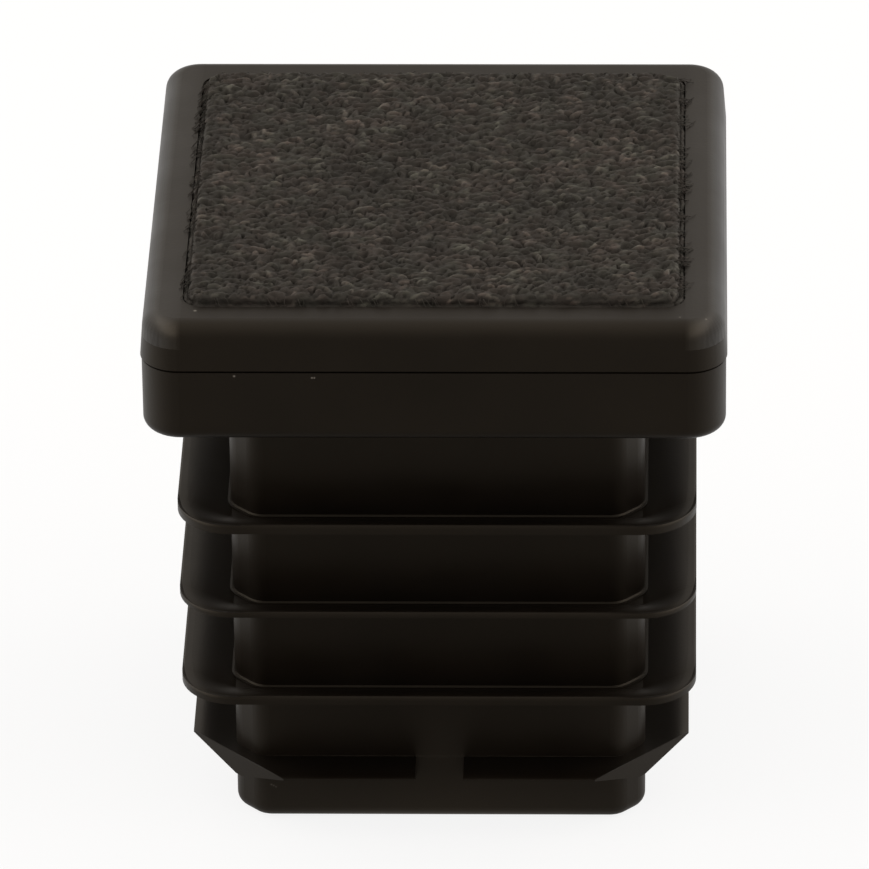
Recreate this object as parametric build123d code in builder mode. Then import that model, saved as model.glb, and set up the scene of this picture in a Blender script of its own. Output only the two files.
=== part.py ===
from build123d import *

import math
import os

# Square tube insert: a ribbed plastic cap that closes the end of a square steel tube and carries a
# felt glide, so that the tube can serve as a furniture foot.
# Millimetres, +Z up. The origin is the centre of the open end, which enters the tube first. The head
# and its glide are on top, and the four sides are alike.

os.makedirs("parts", exist_ok=True)

# Tube that the insert closes
tube_side = 30.0
tube_wall = 1.5
tube_inside = tube_side - 2 * tube_wall

# Head: as wide as the tube at its top, a little wider at the mould's parting line
head_top_side = tube_side
head_side = tube_side + 0.4
head_corner_radius = 2.0
head_underside_z = 25.55
head_top_z = 32.35
head_top_radius = 0.9
head_bottom_radius = 0.65
lower_half_inset = 0.06
parting_z = 29.7
parting_groove_height = 0.14
parting_groove_depth = 0.2

# Core: the hollow square plug that stands inside the tube, its corners cut blunt
core_side = 21.83
core_corner_reach = 20.5  # |x| + |y| at the cut corners
core_edge_radius = 1.3
core_end_radius = 0.75
core_wall = 1.8
core_mouth_radius = 0.3
hollow_corner_radius = 0.8

# Fins: thin flexible lips that grip the tube, raised at their tips like shallow dishes
fin_side = tube_inside + 0.25
fin_corner_radius = 2.9
fin_rise = 1.06  # from the root to the tip
fin_root_thickness = 0.85
fin_root_radius = 0.12
fin_root_depth = 0.1  # how far the fin's shape runs on into the core
fin_tip_land = 0.1
fin_tops_and_tips = ((9.23, 0.47), (14.39, 0.31), (19.67, 0.52))

# Collar: the rigid rib that leads the insert into the tube, a wedge with its corners cut off
collar_side = tube_inside - 0.52
collar_top_z = 3.95
collar_edge_thickness = 0.12
collar_root_thickness = 1.27
collar_corner_reach = 21.5  # |x| + |y| at the cut corners
weld_notch_width = 2.55  # clears the weld seam inside the tube

# Pocket in the head, and the glide glued into it
pocket_side = 26.0
pocket_corner_radius = 1.1
pocket_depth = 1.6
pocket_floor_thickness = 2.2
glide_side = 25.4
glide_corner_radius = 0.9
glide_thickness = 2.0
glide_edge_bevel = 0.15

# Heights that follow
pocket_floor_z = head_top_z - pocket_depth
hollow_top_z = pocket_floor_z - pocket_floor_thickness
groove_bottom_z = parting_z - parting_groove_height / 2
groove_top_z = parting_z + parting_groove_height / 2
collar_edge_z = collar_top_z - collar_edge_thickness
collar_root_z = collar_top_z - collar_root_thickness

# Fins and collar, from where they leave the core
core_wall_y = -core_side / 2
fin_reach = (fin_side - core_side) / 2 + fin_root_depth
dish_slope = fin_rise / (fin_reach - fin_root_depth)
dish_angle = math.atan(dish_slope)
upper_half_draft = math.degrees(math.atan((head_side - head_top_side) / 2 / (head_top_z - groove_top_z)))


def edges_at(part, height):
    """Edges of the part that lie flat at one height."""
    return part.edges().filter_by_position(Axis.Z, height, height)


def square_with_cut_corners(side, reach):
    """Draw a square whose corners are cut at 45 degrees, where |x| + |y| equals the reach."""
    Rectangle(side, side)
    Rectangle(reach * math.sqrt(2), reach * math.sqrt(2), rotation=45, mode=Mode.INTERSECT)


def fin_outline(inset=0.0):
    """Draw a fin's edge, inset on every side."""
    RectangleRounded(fin_side - 2 * inset, fin_side - 2 * inset, fin_corner_radius - inset)


def draw_in(depth, reach, mode=Mode.ADD):
    """Extrude the sketch downwards so that it draws in by the reach."""
    extrude(amount=-depth, taper=math.degrees(math.atan(reach / depth)), mode=mode)


def root_radius_profile(root_z):
    """Draw the section of the fine radius, in two flats, between a fin's dish and the core's front wall."""
    half_angle = (math.pi / 2 - dish_angle) / 2
    tangent_length = fin_root_radius / math.tan(half_angle)
    middle_length = fin_root_radius / math.sin(half_angle) - fin_root_radius
    middle_angle = dish_angle + half_angle
    foot_y = core_wall_y - tangent_length * math.cos(dish_angle)
    foot_z = root_z + tangent_length * math.sin(dish_angle)
    middle_y = core_wall_y - middle_length * math.cos(middle_angle)
    middle_z = root_z + middle_length * math.sin(middle_angle)
    wall_z = root_z + tangent_length
    buried_y = core_wall_y + fin_root_radius
    buried_z = root_z - fin_root_radius
    with BuildLine() as outline:
        Polyline(
            (foot_y, foot_z),
            (foot_y, buried_z),
            (buried_y, buried_z),
            (buried_y, wall_z),
            (core_wall_y, wall_z),
            (middle_y, middle_z),
            close=True,
        )
    make_face(outline.edges())


def collar_profile():
    """Draw the collar's section, a wedge on both sides of the core."""
    with BuildLine() as outline:
        Polyline(
            (-core_side / 2, collar_root_z),
            (core_side / 2, collar_root_z),
            (collar_side / 2, collar_edge_z),
            (collar_side / 2, collar_top_z),
            (-collar_side / 2, collar_top_z),
            (-collar_side / 2, collar_edge_z),
            close=True,
        )
    make_face(outline.edges())


with BuildSketch() as core_section:
    square_with_cut_corners(core_side, core_corner_reach)
    fillet(core_section.vertices(), radius=core_edge_radius)


with BuildPart() as cap_body:
    # Collar: square wedge, thin at its edge and thick at the core
    with BuildSketch(Plane.XZ):
        collar_profile()
    extrude(amount=collar_side / 2, both=True)
    with BuildSketch(Plane.YZ):
        collar_profile()
    extrude(amount=collar_side / 2, both=True, mode=Mode.INTERSECT)

    # Its corners are cut off square to the diagonals
    with BuildSketch(Plane.XY.offset(collar_root_z)):
        square_with_cut_corners(collar_side, collar_corner_reach)
    extrude(amount=collar_root_thickness, mode=Mode.INTERSECT)

    # A notch in the middle of each side passes the tube's weld seam
    with BuildSketch(Plane.XY.offset(collar_root_z)):
        Rectangle(collar_side, weld_notch_width)
        Rectangle(weld_notch_width, collar_side)
    extrude(amount=collar_root_thickness, mode=Mode.SUBTRACT)

    for fin_top_z, tip_thickness in fin_tops_and_tips:
        # Fin: a plate whose underside falls to its thick root
        tip_underside_z = fin_top_z - tip_thickness
        root_top_z = fin_top_z - dish_slope * fin_reach
        root_underside_z = root_top_z - fin_root_thickness
        with BuildSketch(Plane.XY.offset(tip_underside_z)):
            fin_outline()
        extrude(amount=tip_thickness)
        with BuildSketch(Plane.XY.offset(tip_underside_z)):
            fin_outline()
        draw_in(tip_underside_z - root_underside_z, fin_reach)

        # Its upper side is dished down to the root
        with BuildSketch(Plane.XY.offset(fin_top_z)):
            fin_outline(inset=fin_tip_land)
        draw_in(fin_top_z - root_top_z, fin_reach - fin_tip_land, mode=Mode.SUBTRACT)

    # Head: each half is widest by the parting line, where a fine groove runs
    lower_side = head_side - 2 * lower_half_inset
    with BuildSketch(Plane.XY.offset(head_underside_z)):
        RectangleRounded(lower_side, lower_side, head_corner_radius)
    extrude(amount=groove_bottom_z - head_underside_z)
    groove_side = head_side - 2 * parting_groove_depth
    with BuildSketch(Plane.XY.offset(groove_bottom_z)):
        RectangleRounded(groove_side, groove_side, head_corner_radius - parting_groove_depth)
    extrude(amount=parting_groove_height)
    with BuildSketch(Plane.XY.offset(groove_top_z)):
        RectangleRounded(head_side, head_side, head_corner_radius)
    extrude(amount=head_top_z - groove_top_z, taper=upper_half_draft)
    fillet(edges_at(cap_body, head_top_z), radius=head_top_radius)
    fillet(edges_at(cap_body, head_underside_z), radius=head_bottom_radius)

    # Core, rounded where it enters the tube
    extrude(core_section.sketch, amount=head_underside_z)
    fillet(edges_at(cap_body, 0), radius=core_end_radius)

    # A fine radius runs round the core where each fin's dish meets it
    for fin_top_z, tip_thickness in fin_tops_and_tips:
        root_z = fin_top_z - fin_rise
        with BuildSketch(Plane.YZ):
            root_radius_profile(root_z)
        sweep(path=core_section.wire().moved(Location((0, 0, root_z))))

    # Hollow, open at the bottom, closed by the head
    with BuildSketch():
        hollow_side = core_side - 2 * core_wall
        RectangleRounded(hollow_side, hollow_side, hollow_corner_radius)
    extrude(amount=hollow_top_z, mode=Mode.SUBTRACT)
    mouth = cap_body.faces().sort_by(Axis.Z)[0].inner_wires()[0]
    fillet(mouth.edges(), radius=core_mouth_radius)

    # Pocket for the glide
    with BuildSketch(Plane.XY.offset(pocket_floor_z)):
        RectangleRounded(pocket_side, pocket_side, pocket_corner_radius)
    extrude(amount=pocket_depth, mode=Mode.SUBTRACT)

cap_body.part.label = "cap_body"
export_step(cap_body.part, "parts/cap_body.step")


with BuildPart() as glide_pad:
    with BuildSketch(Plane.XY.offset(pocket_floor_z)):
        RectangleRounded(glide_side, glide_side, glide_corner_radius)
    extrude(amount=glide_thickness)
    chamfer(edges_at(glide_pad, pocket_floor_z + glide_thickness), length=glide_edge_bevel)

glide_pad.part.label = "glide_pad"
export_step(glide_pad.part, "parts/glide_pad.step")
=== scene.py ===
"""Square tube insert with a felt glide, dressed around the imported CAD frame. Metres, +Z up."""

import math

import bpy
import numpy as np
from mathutils import Matrix, Vector


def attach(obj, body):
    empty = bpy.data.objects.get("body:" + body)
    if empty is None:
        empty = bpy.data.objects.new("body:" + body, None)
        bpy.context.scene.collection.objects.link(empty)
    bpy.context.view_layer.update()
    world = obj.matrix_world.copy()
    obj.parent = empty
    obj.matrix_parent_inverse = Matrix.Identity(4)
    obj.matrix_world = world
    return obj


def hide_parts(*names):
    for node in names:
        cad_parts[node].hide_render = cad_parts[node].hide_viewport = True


MM = 0.001

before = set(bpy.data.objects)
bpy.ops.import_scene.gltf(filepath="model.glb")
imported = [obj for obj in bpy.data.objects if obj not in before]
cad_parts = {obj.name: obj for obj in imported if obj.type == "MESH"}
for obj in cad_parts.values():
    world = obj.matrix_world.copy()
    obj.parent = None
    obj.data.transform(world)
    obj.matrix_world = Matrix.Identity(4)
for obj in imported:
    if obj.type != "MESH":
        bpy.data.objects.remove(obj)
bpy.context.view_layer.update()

# ---------------------------------------------------------------- camera
CAMERA_AZIMUTH = math.radians(1.701)
CAMERA_ELEVATION = math.radians(29.451)
CAMERA_ROLL = math.radians(-0.730)
CAMERA_DISTANCE = 520.681 * MM
CAMERA_TARGET = Vector((-0.399 * MM, 0.0, 17.466 * MM))
CAMERA_SENSOR = 36.0  # millimetres
CAMERA_LENS = 402.80  # millimetres


def make_camera():
    data = bpy.data.cameras.new("camera")
    data.sensor_width = CAMERA_SENSOR
    data.lens = CAMERA_LENS
    data.clip_start = 0.01
    camera = bpy.data.objects.new("camera", data)
    bpy.context.scene.collection.objects.link(camera)
    towards_camera = Vector((
        math.sin(CAMERA_AZIMUTH) * math.cos(CAMERA_ELEVATION),
        -math.cos(CAMERA_AZIMUTH) * math.cos(CAMERA_ELEVATION),
        math.sin(CAMERA_ELEVATION),
    ))
    level = towards_camera.to_track_quat("Z", "Y").to_matrix()
    turn = level @ Matrix.Rotation(CAMERA_ROLL, 3, "Z")
    camera.matrix_world = Matrix.LocRotScale(
        CAMERA_TARGET + CAMERA_DISTANCE * towards_camera, turn.to_quaternion(), None)
    bpy.context.scene.camera = camera


# ---------------------------------------------------------------- node helpers
def new_material(name):
    material = bpy.data.materials.new(name)
    material.use_nodes = True
    tree = material.node_tree
    return material, tree, tree.nodes["Principled BSDF"]


def assign(piece, material):
    piece.data.materials.clear()
    piece.data.materials.append(material)


def set_or_link(tree, socket, value):
    """Put a plain value into a socket, or link another node's output to it."""
    if isinstance(value, bpy.types.NodeSocket):
        tree.links.new(value, socket)
    else:
        socket.default_value = value


def object_coordinates(tree):
    return tree.nodes.new("ShaderNodeTexCoord").outputs["Object"]


def separate(tree, vector):
    node = tree.nodes.new("ShaderNodeSeparateXYZ")
    tree.links.new(vector, node.inputs["Vector"])
    return node.outputs


def noise(tree, place, scale, detail, roughness=0.5):
    """Soft noise; the scale is in waves per metre."""
    node = tree.nodes.new("ShaderNodeTexNoise")
    node.inputs["Scale"].default_value = scale
    node.inputs["Detail"].default_value = detail
    node.inputs["Roughness"].default_value = roughness
    tree.links.new(place, node.inputs["Vector"])
    return node.outputs["Fac"]


def remap(tree, value, low, high, to_low, to_high, smooth=False):
    node = tree.nodes.new("ShaderNodeMapRange")
    if smooth:
        node.interpolation_type = "SMOOTHSTEP"
    limits = (("From Min", low), ("From Max", high), ("To Min", to_low), ("To Max", to_high))
    for name, number in limits:
        node.inputs[name].default_value = number
    tree.links.new(value, node.inputs["Value"])
    return node.outputs["Result"]


def combine(tree, operation, first, second):
    """A Math node on two values, of which either may be a plain number."""
    node = tree.nodes.new("ShaderNodeMath")
    node.operation = operation
    set_or_link(tree, node.inputs[0], first)
    set_or_link(tree, node.inputs[1], second)
    return node.outputs["Value"]


def absolute(tree, value):
    return combine(tree, "ABSOLUTE", value, 0.0)


def measure(tree, operation, vector):
    """A Vector Math node with one vector linked."""
    node = tree.nodes.new("ShaderNodeVectorMath")
    node.operation = operation
    tree.links.new(vector, node.inputs[0])
    return node


def mix_colors(tree, factor, first, second, blend_type="MIX"):
    node = tree.nodes.new("ShaderNodeMix")
    node.data_type = "RGBA"
    node.blend_type = blend_type
    set_or_link(tree, node.inputs["Factor"], factor)
    set_or_link(tree, node.inputs["A"], first)
    set_or_link(tree, node.inputs["B"], second)
    return node.outputs["Result"]


def bump(tree, height, distance, normal=None):
    node = tree.nodes.new("ShaderNodeBump")
    node.inputs["Distance"].default_value = distance
    tree.links.new(height, node.inputs["Height"])
    if normal is not None:
        tree.links.new(normal, node.inputs["Normal"])
    return node.outputs["Normal"]


# ---------------------------------------------------------------- rounding of the moulding
# Slopes that the moulded faces have on top of the CAD's straight ones
CORE_HALF = 10.9 * MM  # half the core's width
CORNER_SHARPNESS = 10.0  # of the rounded squares that the lips and the collar follow

LIP_TIP = 13.63 * MM
LIP_ZONE = (8.0 * MM, 20.5 * MM)
LIP_TURN = 0.85  # slope taken off at the lip's tip
LIP_BEND = 2.6  # the higher, the nearer the tip it turns
LIP_TOPS = (9.23 * MM, 14.39 * MM, 19.67 * MM)

BEAD_HEIGHT = 0.24 * MM
BEAD_TURN = 0.5
BEAD_REACH = 0.97  # only the tip's outer face has a bead
BEAD_MARGIN = 0.02 * MM  # above the tip, so that its very edge is in

COLLAR_EDGE = 13.24 * MM
COLLAR_ZONE = (3.9 * MM, 3.97 * MM)
COLLAR_RISE = 0.34  # slope from the core outwards
COLLAR_TURN = 0.80
COLLAR_BEND = 4.4

RIM_INSIDE = 13.0 * MM
RIM_OUTSIDE = 15.0 * MM
RIM_ZONE = (31.0 * MM, 33.0 * MM)
RIM_TURN = 0.70
RIM_BEND = 1.35


def square_reach(tree, split, half):
    """How far out a point lies from the axis on rounded squares; 1 at half a side."""
    powers = []
    for axis in ("X", "Y"):
        share = absolute(tree, combine(tree, "DIVIDE", split[axis], half))
        powers.append(combine(tree, "POWER", share, CORNER_SHARPNESS))
    return combine(tree, "POWER", combine(tree, "ADD", *powers), 1.0 / CORNER_SHARPNESS)


def within(tree, value, low, high):
    above = combine(tree, "GREATER_THAN", value, low)
    below = combine(tree, "LESS_THAN", value, high)
    return combine(tree, "MULTIPLY", above, below)


def crown(tree, split, reach, inside, outside, turn, bend, zone):
    """How far an upper face falls towards its outer edge, where its slope is the turn."""
    across = remap(tree, reach, inside / outside, 1.0, 0.0, 1.0)
    depth = -turn * (outside - inside) / bend
    fall = combine(tree, "MULTIPLY", combine(tree, "POWER", across, bend), depth)
    return combine(tree, "MULTIPLY", fall, within(tree, split["Z"], *zone))


def bead(tree, split, reach, top):
    """The round upper edge of one lip's tip."""
    height = remap(tree, split["Z"], top - BEAD_HEIGHT, top, 0.0, 1.0)
    square = combine(tree, "MULTIPLY", height, height)
    fall = combine(tree, "MULTIPLY", square, -0.5 * BEAD_TURN * BEAD_HEIGHT)
    near = within(tree, split["Z"], top - BEAD_HEIGHT, top + BEAD_MARGIN)
    at_tip = combine(tree, "GREATER_THAN", reach, BEAD_REACH)
    return combine(tree, "MULTIPLY", fall, combine(tree, "MULTIPLY", near, at_tip))


def moulded_rounding(tree, place):
    split = separate(tree, place)
    lips = square_reach(tree, split, LIP_TIP)
    collar = square_reach(tree, split, COLLAR_EDGE)
    sideways = absolute(tree, combine(tree, "DIVIDE", split["X"], RIM_OUTSIDE))
    height = crown(tree, split, lips, CORE_HALF, LIP_TIP, LIP_TURN, LIP_BEND, LIP_ZONE)
    others = [
        crown(tree, split, collar, CORE_HALF, COLLAR_EDGE, -COLLAR_RISE, 1.0, COLLAR_ZONE),
        crown(tree, split, collar, CORE_HALF, COLLAR_EDGE, COLLAR_TURN, COLLAR_BEND, COLLAR_ZONE),
        crown(tree, split, sideways, RIM_INSIDE, RIM_OUTSIDE, RIM_TURN, RIM_BEND, RIM_ZONE),
    ]
    others += [bead(tree, split, lips, top) for top in LIP_TOPS]
    for other in others:
        height = combine(tree, "ADD", height, other)
    return height


# ---------------------------------------------------------------- black plastic
PLASTIC_DARK = (0.0019, 0.0009, 0.0005, 1.0)
PLASTIC_LIGHT = (0.0032, 0.0018, 0.0010, 1.0)
PLASTIC_SPECULAR = 0.34
PLASTIC_TINT = (1.0, 0.88, 0.71, 1.0)
PLASTIC_ROUGHNESS = (0.40, 0.48)
PLASTIC_CLOUDS = 180.0  # waves per metre in its tone
PLASTIC_SHEEN = 260.0  # in its roughness
PLASTIC_GRAIN = 5200.0  # in its surface
PLASTIC_GRAIN_HEIGHT = 0.004 * MM
DUST_COLOR = (0.13, 0.12, 0.105, 1.0)

# Specks of dust and nicks: place and radius in millimetres, and how pale each is
SPECKS = (
    (-10.26, -15.17, 29.45, 0.09, 0.8),
    (-6.24, -15.17, 29.36, 0.08, 0.8),
    (-6.12, -15.17, 29.36, 0.08, 0.7),
    (-12.29, -13.40, 32.33, 0.11, 0.9),
    (14.08, -14.11, 32.25, 0.09, 0.8),
    (12.74, -14.01, 32.33, 0.08, 0.6),
    (10.39, -10.92, 13.60, 0.09, 1.0),
    (11.97, -9.31, 19.20, 0.14, 0.5),
    (11.77, -12.40, 19.45, 0.10, 0.4),
    (-9.02, -10.92, 2.16, 0.07, 0.30),
    (-8.90, -10.92, 2.10, 0.07, 0.30),
    (-8.78, -10.92, 2.02, 0.07, 0.25),
)
SPECK_HEART = 0.4  # share of a speck's radius that is as pale as its middle


def specks(tree, place):
    """How much dust pales each point, with soft edges; 0 off the specks."""
    marks = 0.0
    for x, y, z, radius, pale in SPECKS:
        away = measure(tree, "DISTANCE", place)
        away.inputs[1].default_value = (x * MM, y * MM, z * MM)
        heart = SPECK_HEART * radius * MM
        spot = remap(tree, away.outputs["Value"], heart, radius * MM, pale, 0.0)
        marks = combine(tree, "MAXIMUM", spot, marks)
    return marks


def cap_plastic():
    material, tree, shader = new_material("cap_plastic")
    place = object_coordinates(tree)
    tone = remap(tree, noise(tree, place, PLASTIC_CLOUDS, 3.0), 0.35, 0.65, 0.0, 1.0)
    color = mix_colors(tree, tone, PLASTIC_DARK, PLASTIC_LIGHT)
    color = mix_colors(tree, specks(tree, place), color, DUST_COLOR)
    tree.links.new(color, shader.inputs["Base Color"])
    shader.inputs["Specular IOR Level"].default_value = PLASTIC_SPECULAR
    shader.inputs["Specular Tint"].default_value = PLASTIC_TINT
    rough = remap(tree, noise(tree, place, PLASTIC_SHEEN, 3.0), 0.3, 0.7, *PLASTIC_ROUGHNESS)
    tree.links.new(rough, shader.inputs["Roughness"])
    rounded = bump(tree, moulded_rounding(tree, place), 1.0)
    grain = noise(tree, place, PLASTIC_GRAIN, 2.0)
    grained = bump(tree, grain, PLASTIC_GRAIN_HEIGHT, rounded)
    tree.links.new(grained, shader.inputs["Normal"])
    return material


# ---------------------------------------------------------------- black felt
# Between these two colours: painted shade in the depth of the pile, and painted glints
FELT_SHADED_DEPTH = (0.0019, 0.0013, 0.0010, 1.0)
FELT_PAINTED_GLINT = (0.0530, 0.0458, 0.0365, 1.0)
FELT_PATCHES = ((0.52, 0.52, 0.52, 1.0), (1.40, 1.40, 1.40, 1.0))
FELT_PATCH_WAVES = 260.0  # per metre
FELT_TINTS = ((1.09, 0.965, 1.01, 1.0), (0.91, 1.035, 1.02, 1.0))
FELT_TINT_WAVES = 900.0
FELT_SPECULAR = 0.42
FELT_SPECULAR_TINT = (1.0, 0.92, 0.82, 1.0)
FELT_ROUGHNESS = (0.72, 0.52)  # in the depth of the pile and on its brightest fibres
FELT_FUZZ_WAVES = 9000.0
FELT_FUZZ_HEIGHT = 0.03 * MM


def glide_felt():
    material, tree, shader = new_material("glide_felt")
    place = object_coordinates(tree)
    # The fibre attribute holds the fibres' tone with painted shade and painted glints
    fibre = tree.nodes.new("ShaderNodeAttribute")
    fibre.attribute_name = "fibre"
    color = mix_colors(tree, fibre.outputs["Fac"], FELT_SHADED_DEPTH, FELT_PAINTED_GLINT)
    patches = remap(tree, noise(tree, place, FELT_PATCH_WAVES, 3.0, 0.6), 0.36, 0.64, 0.0, 1.0)
    tints = remap(tree, noise(tree, place, FELT_TINT_WAVES, 1.0), 0.38, 0.62, 0.0, 1.0)
    for share, pair in ((patches, FELT_PATCHES), (tints, FELT_TINTS)):
        color = mix_colors(tree, 1.0, color, mix_colors(tree, share, *pair), "MULTIPLY")
    tree.links.new(color, shader.inputs["Base Color"])
    rough = remap(tree, fibre.outputs["Fac"], 0.0, 1.0, *FELT_ROUGHNESS)
    tree.links.new(rough, shader.inputs["Roughness"])
    shader.inputs["Specular IOR Level"].default_value = FELT_SPECULAR
    shader.inputs["Specular Tint"].default_value = FELT_SPECULAR_TINT
    fuzz = bump(tree, noise(tree, place, FELT_FUZZ_WAVES, 3.0), FELT_FUZZ_HEIGHT)
    tree.links.new(fuzz, shader.inputs["Normal"])
    return material


# ---------------------------------------------------------------- felt pad, in millimetres
FELT_SEED = 7
FELT_CELL = 0.095  # between the points of its surface
FELT_CORNER = 0.9
FELT_PROUD = 0.40  # how far the pad stands above the rim
FELT_EDGE = 0.30  # radius of the worn cut edge
FELT_FLANK = 0.44  # how far down the cut sides stay upright
FELT_FRAY = 0.285  # how far the fluff at their foot spreads into the gap
FRAY_DROP = (0.16, 0.30)  # below the flank, where the fluff is widest, from and to
FLANK_DENSITY = 0.8  # how much smoother the cut sides are than the top

FIBRES_PER_SQUARE_MM = 19
FIBRE_LENGTHS = (0.22, 0.78)
FIBRE_RADIUS = 0.102
FIBRE_BEND = 1.1  # spread of their curl, in radians per millimetre
FIBRE_ARCH = 0.09  # how far a fibre's ends dip under its middle
FIBRE_STEPS = 16
FELT_LOFT = 0.24  # depth over which the top layer of fibres lies
COMBED_SHARE = 0.8  # of the fibres lie more or less across the pad
COMBED_SPREAD = 0.38  # radians
SHADES = 256
HEIGHT_STEPS = 1e5  # per millimetre, to pack a height and a shade into one number

TONE_IN_SHADE = 0.08  # painted shade: tone of the fibres at the bottom of the pile, and of the fluff in the gap
TONE_PILE = 0.23  # less painted shade: more for all the fibres on top
TONE_GLINT = 1.45  # painted glints: more for the few brightest on top
TONE_FLUFF = 0.30  # more for thick fluff in the gap, lifting it out of its painted shade
FLANK_SHADE = 0.30  # painted shade: how much darker the cut sides are than the top

FLUFF_PATCHES = 72  # along one side
FLUFF_RAISED = (0.06, 0.12)  # at the least, and more where the fluff is thick
FLUFF_SPREAD = (0.86, 0.14)  # shares of the fray: at the least, and more where it is thick
SIDES = 4
FRONT = 2  # the number of the front side, where the fluff isn't raised

LOOSE_SEED = 11
LOOSE_FIBRES = 640
LOOSE_RADIUS = 0.020
LOOSE_POINTS = 5
LOOSE_SHARES = (0.36, 0.20, 0.34, 0.10)  # of the fibres: right, back, left, front
LOOSE_SHORTEST = 0.25
LOOSE_LONGEST = (0.95, 0.75, 0.75, 0.45)  # right, back, left, front
LOOSE_ROOT = (0.05, 0.30)  # how far inside the cut edge they start
LOOSE_ROOT_DEPTH = 0.12  # and how far under the pad's top
LOOSE_STRAY = 0.8  # spread of their heading, in radians
LOOSE_CURL = 0.8  # radians from root to tip
LOOSE_RISE = (0.05, 0.20)
LOOSE_ARCH = 2.2  # radians of the wave that a fibre rises on
LOOSE_SINK = 0.55
LOOSE_TONES = (0.10, 0.35)
TUFTS = 60
TUFT_MARGIN = 0.7  # from the pad's corners
TUFT_SPREAD = 0.16
GAP_WIDTH = 0.26  # from the pad to where a fibre lies on the rim
GAP_DIP = 0.15  # how far it may sink into the gap, below the rim


def lay_fibres(rng, side, points):
    """Lay short crimped fibres on a square mat; give its height and each point's shade."""
    count = int(side * side * FIBRES_PER_SQUARE_MM)
    length = rng.uniform(*FIBRE_LENGTHS, count)
    along = np.linspace(0.0, 1.0, FIBRE_STEPS)
    combed = rng.random(count) < COMBED_SHARE
    start = np.where(combed, rng.normal(0, COMBED_SPREAD, count), rng.uniform(0, 2 * np.pi, count))
    heading = start[:, None] + (rng.normal(0, FIBRE_BEND, count) * length)[:, None] * along
    step = (length / (FIBRE_STEPS - 1))[:, None]
    x = rng.uniform(0, side, count)[:, None] + np.cumsum(np.cos(heading) * step, axis=1)
    y = rng.uniform(0, side, count)[:, None] + np.cumsum(np.sin(heading) * step, axis=1)
    ridge = rng.uniform(0, FELT_LOFT, count)[:, None] - FIBRE_ARCH * (2 * along - 1) ** 2
    shade = np.repeat(rng.integers(0, SHADES, count)[:, None], FIBRE_STEPS, axis=1)

    cell = side / (points - 1)
    mat = np.zeros((points, points), dtype=np.int64)
    column, row = np.rint(x / cell).astype(int), np.rint(y / cell).astype(int)
    reach = range(-2, 3)  # cells on either side that a fibre's width can cover
    for down in reach:
        for across in reach:
            i, j = column + across, row + down
            distance = np.hypot(i * cell - x, j * cell - y)
            height = ridge + np.sqrt(np.clip(FIBRE_RADIUS**2 - distance**2, 0, None))
            on_mat = (i >= 0) & (j >= 0) & (i < points) & (j < points)
            keep = (distance < FIBRE_RADIUS) & (height > 0) & on_mat
            key = (height * HEIGHT_STEPS).astype(np.int64) * SHADES + shade
            np.maximum.at(mat, (i[keep], j[keep]), key[keep])
    return (mat // SHADES) / HEIGHT_STEPS, (mat % SHADES) / (SHADES - 1)


def felt_outline(half, thickness):
    """The pad's outline from the middle of its top to its foot: how far out and down."""
    bends = np.linspace(0, np.pi / 2, 7)
    edge_out = half - FELT_EDGE + FELT_EDGE * np.sin(bends)
    edge_down = FELT_EDGE * (1 - np.cos(bends))
    fray_down = [FELT_FLANK + drop for drop in FRAY_DROP]
    out = [0.0, *edge_out, half, half + FELT_FRAY, half + FELT_FRAY, half]
    down = [0.0, *edge_down, FELT_FLANK, *fray_down, thickness]
    return np.array(out), np.array(down)


def gap_fluff(rng, u, v, reach):
    """Which side each point lies on, and how thick the fluff is there, from 0 to 1."""
    patches = rng.uniform(0.0, 1.0, (SIDES, FLUFF_PATCHES))
    beside = np.abs(u) >= np.abs(v)
    side = np.where(beside, (u > 0).astype(int), FRONT + (v > 0).astype(int))
    along = np.where(beside, v, u)
    fluff = np.zeros(len(u))
    for number in range(SIDES):
        on = side == number
        stations = np.linspace(-reach, reach, FLUFF_PATCHES)
        fluff[on] = np.interp(along[on], stations, patches[number])
    return side, fluff


def round_corners(x, y, half):
    """Draw the plan's square corners in to a radius."""
    a, b = np.abs(x) - (half - FELT_CORNER), np.abs(y) - (half - FELT_CORNER)
    corner = (a > 0) & (b > 0)
    pull = np.maximum(a, b)[corner] / np.hypot(a, b)[corner]
    x[corner] = np.sign(x[corner]) * (half - FELT_CORNER + a[corner] * pull)
    y[corner] = np.sign(y[corner]) * (half - FELT_CORNER + b[corner] * pull)


def add_sheet(name, size, cells):
    """A flat square sheet of cells; give it and its points' two coordinates in millimetres."""
    bpy.ops.object.select_all(action="DESELECT")
    bpy.ops.mesh.primitive_grid_add(x_subdivisions=cells, y_subdivisions=cells, size=size * MM)
    sheet = bpy.context.object
    sheet.name = name
    flat = np.empty(len(sheet.data.vertices) * 3)
    sheet.data.vertices.foreach_get("co", flat)
    return sheet, flat.reshape(-1, 3)[:, 0] / MM, flat.reshape(-1, 3)[:, 1] / MM


def close_underside():
    bpy.ops.object.mode_set(mode="EDIT")
    bpy.ops.mesh.select_all(action="DESELECT")
    bpy.ops.mesh.select_mode(type="EDGE")
    bpy.ops.mesh.select_non_manifold()
    bpy.ops.mesh.edge_face_add()
    bpy.ops.object.mode_set(mode="OBJECT")


def store_tones(mesh, tones):
    attribute = mesh.attributes.new("fibre", "FLOAT", "POINT")
    attribute.data.foreach_set("value", tones.astype(np.float32))


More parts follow.
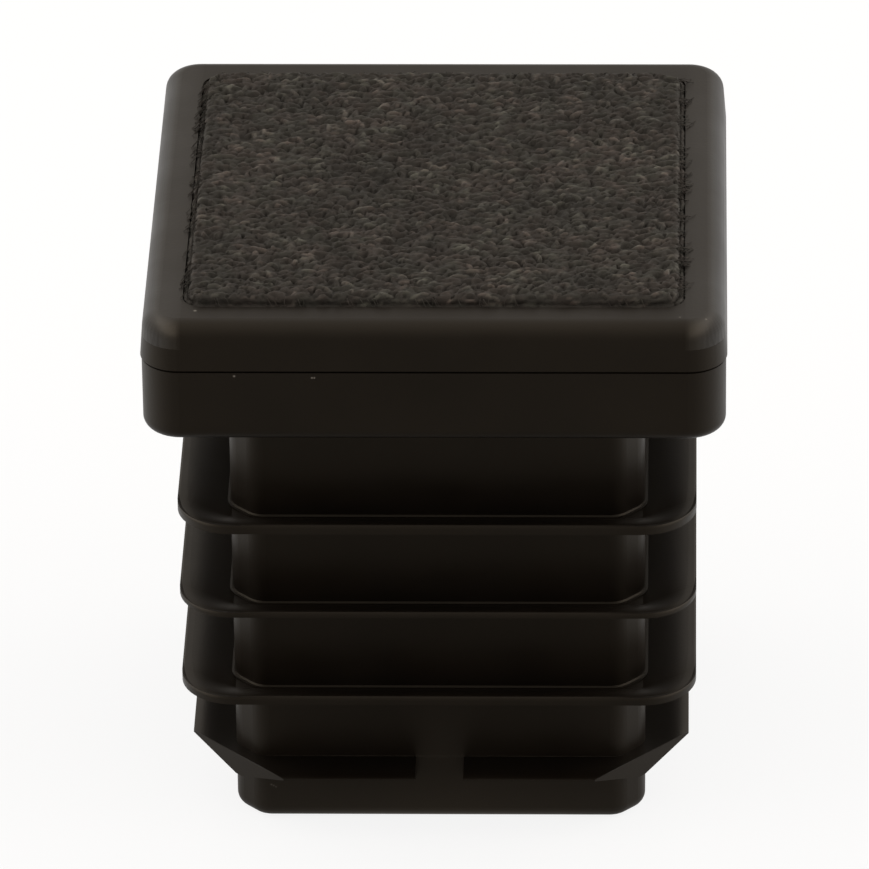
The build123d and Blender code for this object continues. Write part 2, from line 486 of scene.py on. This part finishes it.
def make_felt(cad_pad):
    """A mat of fibres over the CAD pad's top and flanks, with a worn, slightly frayed edge."""
    corners = [Vector(vertex.co) / MM for vertex in cad_pad.data.vertices]
    half = max(corner.x for corner in corners)
    bottom = min(corner.z for corner in corners)
    top = max(corner.z for corner in corners)
    out_line, down_line = felt_outline(half, top - bottom)
    arc = np.concatenate([[0.0], np.cumsum(np.hypot(np.diff(out_line), np.diff(down_line)))])
    arc[-1] = arc[-2] + 3 * FELT_CELL  # the hidden foot takes only the last rings
    reach = arc[-1]
    cells = 2 * round(reach / FELT_CELL)
    pad, u, v = add_sheet("felt_pad", 2 * reach, cells)

    rng = np.random.default_rng(FELT_SEED)
    mat, shade = lay_fibres(rng, 2 * reach, cells + 1)
    i = np.rint((u + reach) / (2 * reach) * cells).astype(int)
    j = np.rint((v + reach) / (2 * reach) * cells).astype(int)
    relief, shade = mat[i, j], shade[i, j]

    # Fold the sheet over the edge and down the flanks, and spread its foot into the gap
    ring = np.maximum(np.maximum(np.abs(u), np.abs(v)), 1e-9)
    out = np.interp(ring, arc, out_line)
    drop = np.interp(ring, arc, down_line)
    lean = np.arctan2(np.gradient(down_line, arc), np.gradient(out_line, arc))
    lean = np.clip(np.interp(ring, arc, lean), 0, np.pi / 2)
    side, fluff = gap_fluff(rng, u, v, reach)
    frayed = out > half
    raised = frayed & (side != FRONT)
    drop = np.where(raised, drop - FLUFF_RAISED[0] - FLUFF_RAISED[1] * fluff, drop)
    spread = FLUFF_SPREAD[0] + FLUFF_SPREAD[1] * fluff
    out = np.where(frayed, half + (out - half) * spread, out)
    x, y = u / ring * out, v / ring * out
    round_corners(x, y, half)

    # Raise the fibres along the surface's normal
    size = np.maximum(np.hypot(x, y), 1e-9)
    side_x = np.where(np.abs(x) >= np.abs(y), np.sign(x), x / size * 0.5)
    side_y = np.where(np.abs(y) >= np.abs(x), np.sign(y), y / size * 0.5)
    lift = (relief - relief.mean()) * (1 - FLANK_DENSITY * np.sin(lean))
    lift[ring > arc[-3]] = 0.0
    z = top - drop + lift * np.cos(lean)
    x += side_x * lift * np.sin(lean)
    y += side_y * lift * np.sin(lean)
    z = np.maximum(z, bottom)
    pad.data.vertices.foreach_set("co", np.column_stack([x, y, z]).ravel() * MM)
    pad.data.update()

    # Painted shade darkens the fibres low in the pile, the cut sides and the fluff in the gap, and
    # painted glints brighten a few of the upper fibres
    pile = np.clip(relief / (FELT_LOFT + FIBRE_RADIUS), 0, 1)
    tone = TONE_IN_SHADE + TONE_PILE * pile**3 + TONE_GLINT * pile**2 * shade**6
    tone *= 1 - FLANK_SHADE * np.sin(lean)
    tone[frayed] = TONE_IN_SHADE + TONE_FLUFF * (shade * fluff)[frayed]
    store_tones(pad.data, np.clip(tone, 0, 1))

    close_underside()
    bpy.ops.object.shade_smooth()
    join_pieces(pad, make_loose_fibres(half, top - FELT_PROUD, top))
    return pad


def loose_fibre(rng, tufts, half, rim_top, pad_top):
    """The points of one fibre that leaves the cut edge and sinks towards the rim."""
    quarter = rng.choice(SIDES, p=LOOSE_SHARES)
    side = Matrix.Rotation(math.pi / 2 * quarter, 3, "Z")
    along = rng.choice(tufts) + rng.normal(0, TUFT_SPREAD)
    stray = rng.normal(0, LOOSE_STRAY)
    length = rng.uniform(LOOSE_SHORTEST, LOOSE_LONGEST[quarter])
    rise = rng.uniform(*LOOSE_RISE)
    start = half - rng.uniform(*LOOSE_ROOT)
    root_height = pad_top - LOOSE_ROOT_DEPTH
    points = []
    for share in np.linspace(0.0, 1.0, LOOSE_POINTS):
        out = start + length * share * math.cos(stray)
        across = along + length * share * math.sin(stray + LOOSE_CURL * share)
        up = root_height + rise * math.sin(LOOSE_ARCH * share) - LOOSE_SINK * share**2
        over_rim = out > half + GAP_WIDTH
        lowest = rim_top + 1.5 * LOOSE_RADIUS if over_rim else rim_top - GAP_DIP
        points.append(side @ Vector((out, across, max(up, lowest))) * MM)
    return points


def make_loose_fibres(half, rim_top, pad_top):
    """Single fibres, in tufts, that stand out over the gap and the rim."""
    rng = np.random.default_rng(LOOSE_SEED)
    data = bpy.data.curves.new("loose_fibres", "CURVE")
    data.dimensions = "3D"
    data.bevel_depth = LOOSE_RADIUS * MM
    data.bevel_resolution = 0
    data.use_fill_caps = True
    tufts = rng.uniform(-half + TUFT_MARGIN, half - TUFT_MARGIN, TUFTS)
    for _ in range(LOOSE_FIBRES):
        points = loose_fibre(rng, tufts, half, rim_top, pad_top)
        spline = data.splines.new("POLY")
        spline.points.add(len(points) - 1)
        for knot, point in zip(spline.points, points):
            knot.co = (*point, 1.0)
    strands = bpy.data.objects.new("loose_fibres", data)
    bpy.context.scene.collection.objects.link(strands)
    bpy.ops.object.select_all(action="DESELECT")
    strands.select_set(True)
    bpy.context.view_layer.objects.active = strands
    bpy.ops.object.convert(target="MESH")
    strands = bpy.context.object
    points_each = len(strands.data.vertices) // LOOSE_FIBRES
    store_tones(strands.data, np.repeat(rng.uniform(*LOOSE_TONES, LOOSE_FIBRES), points_each))
    return strands


def join_pieces(main, other):
    bpy.ops.object.select_all(action="DESELECT")
    other.select_set(True)
    main.select_set(True)
    bpy.context.view_layer.objects.active = main
    bpy.ops.object.join()


# ---------------------------------------------------------------- floor and room
FLOOR_SIZE = 6.0  # metres
FLOOR_COLOR = (0.9, 0.9, 0.9, 1.0)
FLOOR_ROUGHNESS = 0.9
WHITE = (1.0, 1.0, 1.0, 1.0)
SHADOW_SHARE = 0.15  # of the floor's own shading that the white sweep still shows
PAINTED_SHADOW_REACH = 80.0  # millimetres over which the gloss shows the sweep darker in front, a painted shadow
# warm tint of the painted shadow
PAINTED_SHADOW_TINT = (1.0, 0.94, 0.86)
FRONT_SHADOW_STOPS = (  # painted shadow in the gloss: millimetres from the middle, and brightness there
    (0.0, 0.62),
    (11.5, 0.62),
    (15.0, 0.28),
    (20.0, 0.11),
    (38.0, 0.11),
    (48.0, 0.17),
    (56.0, 0.18),
    (80.0, 0.21),
)

ROOM_COLOR = (1.0, 0.95, 0.89, 1.0)
HORIZON_LIGHT = 0.525
BACK_LIGHT = 0.18  # more behind, less in front
ZENITH_LIGHT = 0.38  # more overhead
SIDE_BOXES = 2.3  # more at the heart of two soft boxes, at the left and the right
SIDE_BOX_START = 0.40  # how far sideways a heading points where a box begins


def painted_front_shadow(tree, place):
    """A painted shadow on the sweep as the gloss shows it in front, by the distance from the
    middle.
    """
    ramp = tree.nodes.new("ShaderNodeValToRGB")
    stops = ramp.color_ramp.elements
    for distance, _ in FRONT_SHADOW_STOPS[1:-1]:
        stops.new(distance / PAINTED_SHADOW_REACH)
    for stop, (distance, brightness) in zip(stops, FRONT_SHADOW_STOPS):
        stop.position = distance / PAINTED_SHADOW_REACH
        stop.color = (*(part * brightness for part in PAINTED_SHADOW_TINT), 1.0)
    away = measure(tree, "LENGTH", place).outputs["Value"]
    tree.links.new(combine(tree, "DIVIDE", away, PAINTED_SHADOW_REACH * MM), ramp.inputs["Fac"])
    return ramp.outputs["Color"]


def floor_sweep():
    """White for the camera; the gloss and clear pieces see it white too, with a painted shadow in
    front; a plain pale floor for the light.
    """
    material, tree, shader = new_material("floor")
    shader.inputs["Base Color"].default_value = FLOOR_COLOR
    shader.inputs["Roughness"].default_value = FLOOR_ROUGHNESS
    shader.inputs["Specular IOR Level"].default_value = 0.0
    place = object_coordinates(tree)
    ray = tree.nodes.new("ShaderNodeLightPath").outputs
    heading = separate(tree, measure(tree, "NORMALIZE", place).outputs["Vector"])
    ahead = remap(tree, heading["Y"], -1.0, 0.0, 1.0, 0.0)
    not_camera = combine(tree, "SUBTRACT", 1.0, ray["Is Camera Ray"])
    # Gloss and clear rays in front see the painted shadow instead of plain white
    in_painted_shadow = combine(tree, "MULTIPLY", ahead, not_camera)
    white = tree.nodes.new("ShaderNodeEmission")
    color = mix_colors(tree, in_painted_shadow, WHITE, painted_front_shadow(tree, place))
    tree.links.new(color, white.inputs["Color"])
    seen = combine(tree, "MAXIMUM", ray["Is Camera Ray"], ray["Is Glossy Ray"])
    seen = combine(tree, "MAXIMUM", seen, ray["Is Transmission Ray"])
    mix = tree.nodes.new("ShaderNodeMixShader")
    tree.links.new(combine(tree, "MULTIPLY", seen, 1.0 - SHADOW_SHARE), mix.inputs["Fac"])
    tree.links.new(shader.outputs["BSDF"], mix.inputs[1])
    tree.links.new(white.outputs["Emission"], mix.inputs[2])
    tree.links.new(mix.outputs["Shader"], tree.nodes["Material Output"].inputs["Surface"])
    return material


def make_floor():
    bpy.ops.object.select_all(action="DESELECT")
    bpy.ops.mesh.primitive_plane_add(size=FLOOR_SIZE, location=(0, 0, 0))
    floor = bpy.context.object
    floor.name = "floor"
    assign(floor, floor_sweep())


def make_world():
    """Soft boxes at both sides and a brighter back: the room is darkest in front."""
    world = bpy.data.worlds.new("studio")
    bpy.context.scene.world = world
    world.use_nodes = True
    tree = world.node_tree
    heading = separate(tree, tree.nodes.new("ShaderNodeTexCoord").outputs["Generated"])
    back = combine(tree, "MULTIPLY", heading["Y"], BACK_LIGHT)
    height = combine(tree, "MULTIPLY", heading["Z"], heading["Z"])
    zenith = combine(tree, "MULTIPLY", height, ZENITH_LIGHT)
    sideways = absolute(tree, heading["X"])
    boxes = remap(tree, sideways, SIDE_BOX_START, 1.0, 0.0, SIDE_BOXES, smooth=True)
    level = combine(tree, "ADD", combine(tree, "ADD", back, zenith), boxes)
    background = tree.nodes["Background"]
    background.inputs["Color"].default_value = ROOM_COLOR
    tree.links.new(combine(tree, "ADD", level, HORIZON_LIGHT), background.inputs["Strength"])


make_camera()
make_floor()
make_world()

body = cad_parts["cap_body"]
assign(body, cap_plastic())

felt = make_felt(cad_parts["glide_pad"])
assign(felt, glide_felt())
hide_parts("glide_pad")
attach(felt, "root")

bpy.context.scene.view_settings.view_transform = "Standard"
